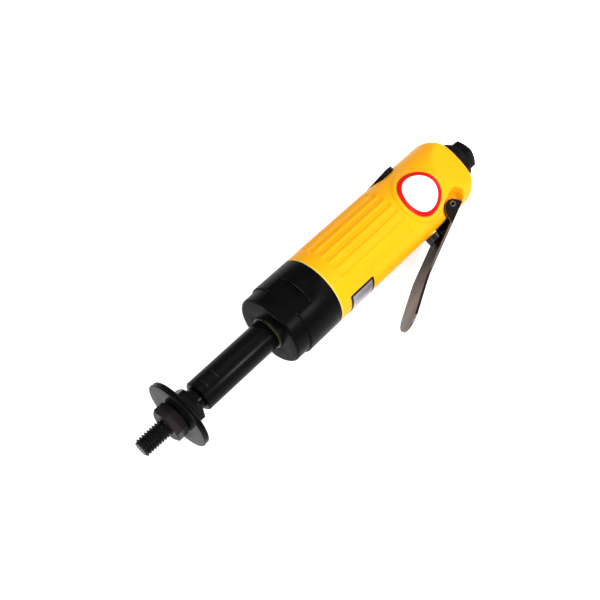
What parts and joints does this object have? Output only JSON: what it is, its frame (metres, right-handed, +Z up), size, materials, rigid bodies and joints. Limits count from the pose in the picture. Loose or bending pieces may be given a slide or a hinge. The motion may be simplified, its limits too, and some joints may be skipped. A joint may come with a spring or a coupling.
{
  "type": "pneumatic corner sander",
  "caption": "Long air-driven sander with a threaded arbor and clamp washers on an extension shaft, a planetary gear case, a fluted round housing and a throttle lever.",
  "frame": {"origin": "middle of the arbor's free thread, on the tool's axis", "axes": "+X along the tool towards the air inlet, +Z up as the tool lies on a table, +Y away from the throttle lever"},
  "size_m": [0.2507, 0.0721, 0.0432],
  "materials": {
    "yellow_paint": "gloss yellow paint over a cast aluminium housing",
    "black_case": "semi-gloss black case",
    "black_steel": "satin blackened steel",
    "seal_metal": "dull grey-yellow metal",
    "badge_enamel": "white enamel with a red rim",
    "plate_foil": "bare aluminium foil with a black border",
    "black_plastic": "black moulded ring",
    "brass_mesh": "fine brass mesh",
    "bright_steel": "bright steel",
    "gear_steel": "ground steel",
    "bearing_steel": "polished bearing steel",
    "motor_iron": "ground cast iron",
    "seal_rubber": "black nitrile rubber",
    "valve_brass": "turned brass",
    "spring_steel": "spring wire",
    "lever_steel": "brown-grey treated steel sheet",
    "vane_composite": "brown phenolic fabric laminate"
  },
  "bodies": {
    "tool_body": {"housing": "yellow_paint", "gear_case": "black_case", "nose_seal_ring": "seal_metal", "badge": "badge_enamel", "nameplate": "plate_foil", "exhaust_ring": "black_plastic", "inlet_bushing": "black_steel", "inlet_screen": "brass_mesh", "lever_pin": "bright_steel", "ring_gear": "gear_steel", "front_spindle_bearing_outer_ring": "bearing_steel", "rear_spindle_bearing_outer_ring": "bearing_steel", "front_spindle_bearing_balls": "bearing_steel", "rear_spindle_bearing_balls": "bearing_steel", "outer_bearing_spacer": "gear_steel", "bearing_retaining_ring": "gear_steel", "motor_clamp_spacer": "gear_steel", "front_end_plate": "motor_iron", "rear_end_plate": "motor_iron", "motor_cylinder": "motor_iron", "front_rotor_bearing_outer_ring": "bearing_steel", "rear_rotor_bearing_outer_ring": "bearing_steel", "front_rotor_bearing_balls": "bearing_steel", "rear_rotor_bearing_balls": "bearing_steel", "motor_dowel": "gear_steel", "rear_gasket": "seal_rubber", "valve_bush": "valve_brass", "valve_seat": "seal_rubber", "valve_spring": "spring_steel"},
    "spindle": {"threaded_arbor": "black_steel", "clamp_nut": "black_steel", "front_clamp_washer": "black_steel", "rear_clamp_washer": "black_steel", "extension_shaft": "black_steel", "planet_carrier": "gear_steel", "planet_pin_1": "gear_steel", "planet_pin_2": "gear_steel", "planet_pin_3": "gear_steel", "front_spindle_bearing_inner_ring": "bearing_steel", "rear_spindle_bearing_inner_ring": "bearing_steel", "inner_bearing_spacer": "gear_steel"},
    "rotor": {"rotor": "gear_steel", "vane_1": "vane_composite", "vane_2": "vane_composite", "vane_3": "vane_composite", "vane_4": "vane_composite", "front_rotor_bearing_inner_ring": "bearing_steel", "rear_rotor_bearing_inner_ring": "bearing_steel"},
    "planet_1": {"planet_gear_1": "gear_steel"},
    "planet_2": {"planet_gear_2": "gear_steel"},
    "planet_3": {"planet_gear_3": "gear_steel"},
    "lever": {"throttle_lever": "lever_steel"},
    "plunger": {"throttle_plunger": "black_steel", "plunger_o_ring": "seal_rubber", "valve_poppet": "valve_brass"},
    "regulator": {"regulator_screw": "black_steel", "regulator_o_ring": "seal_rubber"}
  },
  "joints": [
    {"name": "spindle_spin", "type": "hinge", "parent": "tool_body", "child": "spindle", "pos_m": [0, 0, 0], "axis": [1, 0, 0], "continuous": true},
    {"name": "rotor_spin", "type": "hinge", "parent": "tool_body", "child": "rotor", "pos_m": [0.1436, 0, 0], "axis": [1, 0, 0], "continuous": true},
    {"name": "planet_1_spin", "type": "hinge", "parent": "spindle", "child": "planet_1", "pos_m": [0.1105, -0.00249, 0.00912], "axis": [1, 0, 0], "continuous": true},
    {"name": "planet_2_spin", "type": "hinge", "parent": "spindle", "child": "planet_2", "pos_m": [0.1105, -0.00665, -0.00671], "axis": [1, 0, 0], "continuous": true},
    {"name": "planet_3_spin", "type": "hinge", "parent": "spindle", "child": "planet_3", "pos_m": [0.1105, 0.00914, -0.00241], "axis": [1, 0, 0], "continuous": true},
    {"name": "lever_squeeze", "type": "hinge", "parent": "tool_body", "child": "lever", "pos_m": [0.2079, -0.01592, -0.00434], "axis": [0, 0.263, -0.9648], "range_deg": [0, 10.8], "stiffness_Nm_per_rad": 1.5, "springref_deg": -14.32},
    {"name": "plunger_press", "type": "slide", "parent": "tool_body", "child": "plunger", "axis": [0, 0.9648, 0.263], "range_m": [0, 0.0037], "deforming": ["valve_spring"]},
    {"name": "regulator_turn", "type": "hinge", "parent": "tool_body", "child": "regulator", "pos_m": [0.1895, 0.0193, 0.00526], "axis": [0, 0.9648, 0.263], "range_deg": [0, 180]}
  ],
  "couplings": [
    {"joint": "rotor_spin", "follows": "spindle_spin", "ratio": 4.5},
    {"joint": "planet_1_spin", "follows": "spindle_spin", "ratio": -2.8},
    {"joint": "planet_2_spin", "follows": "spindle_spin", "ratio": -2.8},
    {"joint": "planet_3_spin", "follows": "spindle_spin", "ratio": -2.8},
    {"joint": "plunger_press", "follows": "lever_squeeze", "m_per_rad": 0.019629}
  ]
}
